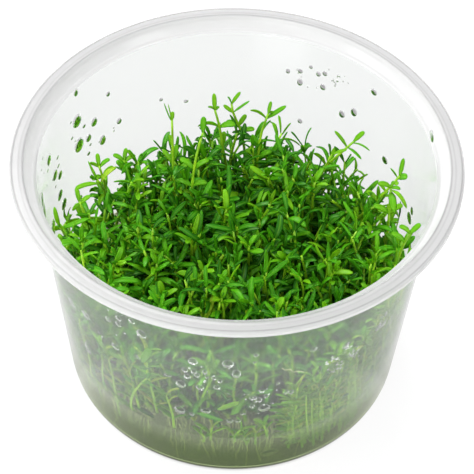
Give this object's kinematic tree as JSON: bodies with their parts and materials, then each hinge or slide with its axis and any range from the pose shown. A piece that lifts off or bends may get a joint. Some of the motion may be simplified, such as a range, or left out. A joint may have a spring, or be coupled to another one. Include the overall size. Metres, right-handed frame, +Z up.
{
  "type": "tissue culture cup of microcarpaea minima",
  "caption": "Open clear tapered plastic cup with nutrient gel in its base and a dense cushion of small-leaved green stem plants growing in it, for planting out in an aquarium.",
  "frame": {"origin": "centre of the cup's flat base, on the surface that it stands on", "axes": "+Z up out of the cup's mouth, -Y towards the side that the picture shows, +X to its right"},
  "size_m": [0.1, 0.1, 0.0655],
  "materials": {
    "clear_plastic": "clear, slightly hazy moulded polypropylene",
    "gel": "wet, clear set agar gel",
    "leaf": "satin living leaves, dark green in the depth of the cushion",
    "shoot": "satin bright yellow-green leaves and pale stems",
    "water": "clear water drops on the inside of the cup"
  },
  "bodies": {
    "root": {"cup": "clear_plastic", "nutrient_gel": "gel", "plant_cushion": "leaf", "shoot_01": "shoot", "shoot_02": "shoot", "shoot_03": "shoot", "shoot_04": "shoot", "shoot_05": "shoot", "shoot_06": "shoot", "shoot_07": "shoot", "shoot_08": "shoot", "shoot_09": "shoot", "shoot_10": "shoot", "shoot_11": "shoot", "shoot_12": "shoot", "shoot_13": "shoot", "shoot_14": "shoot", "shoot_15": "shoot", "shoot_16": "shoot", "shoot_17": "shoot", "shoot_18": "shoot", "shoot_19": "shoot", "shoot_20": "shoot", "shoot_21": "shoot", "shoot_22": "shoot", "shoot_23": "shoot", "shoot_24": "shoot", "shoot_25": "shoot", "shoot_26": "shoot", "shoot_27": "shoot", "shoot_28": "shoot", "shoot_29": "shoot", "shoot_30": "shoot", "shoot_31": "shoot", "shoot_32": "shoot", "shoot_33": "shoot", "shoot_34": "shoot", "shoot_35": "shoot", "shoot_36": "shoot"}
  },
  "joints": []
}
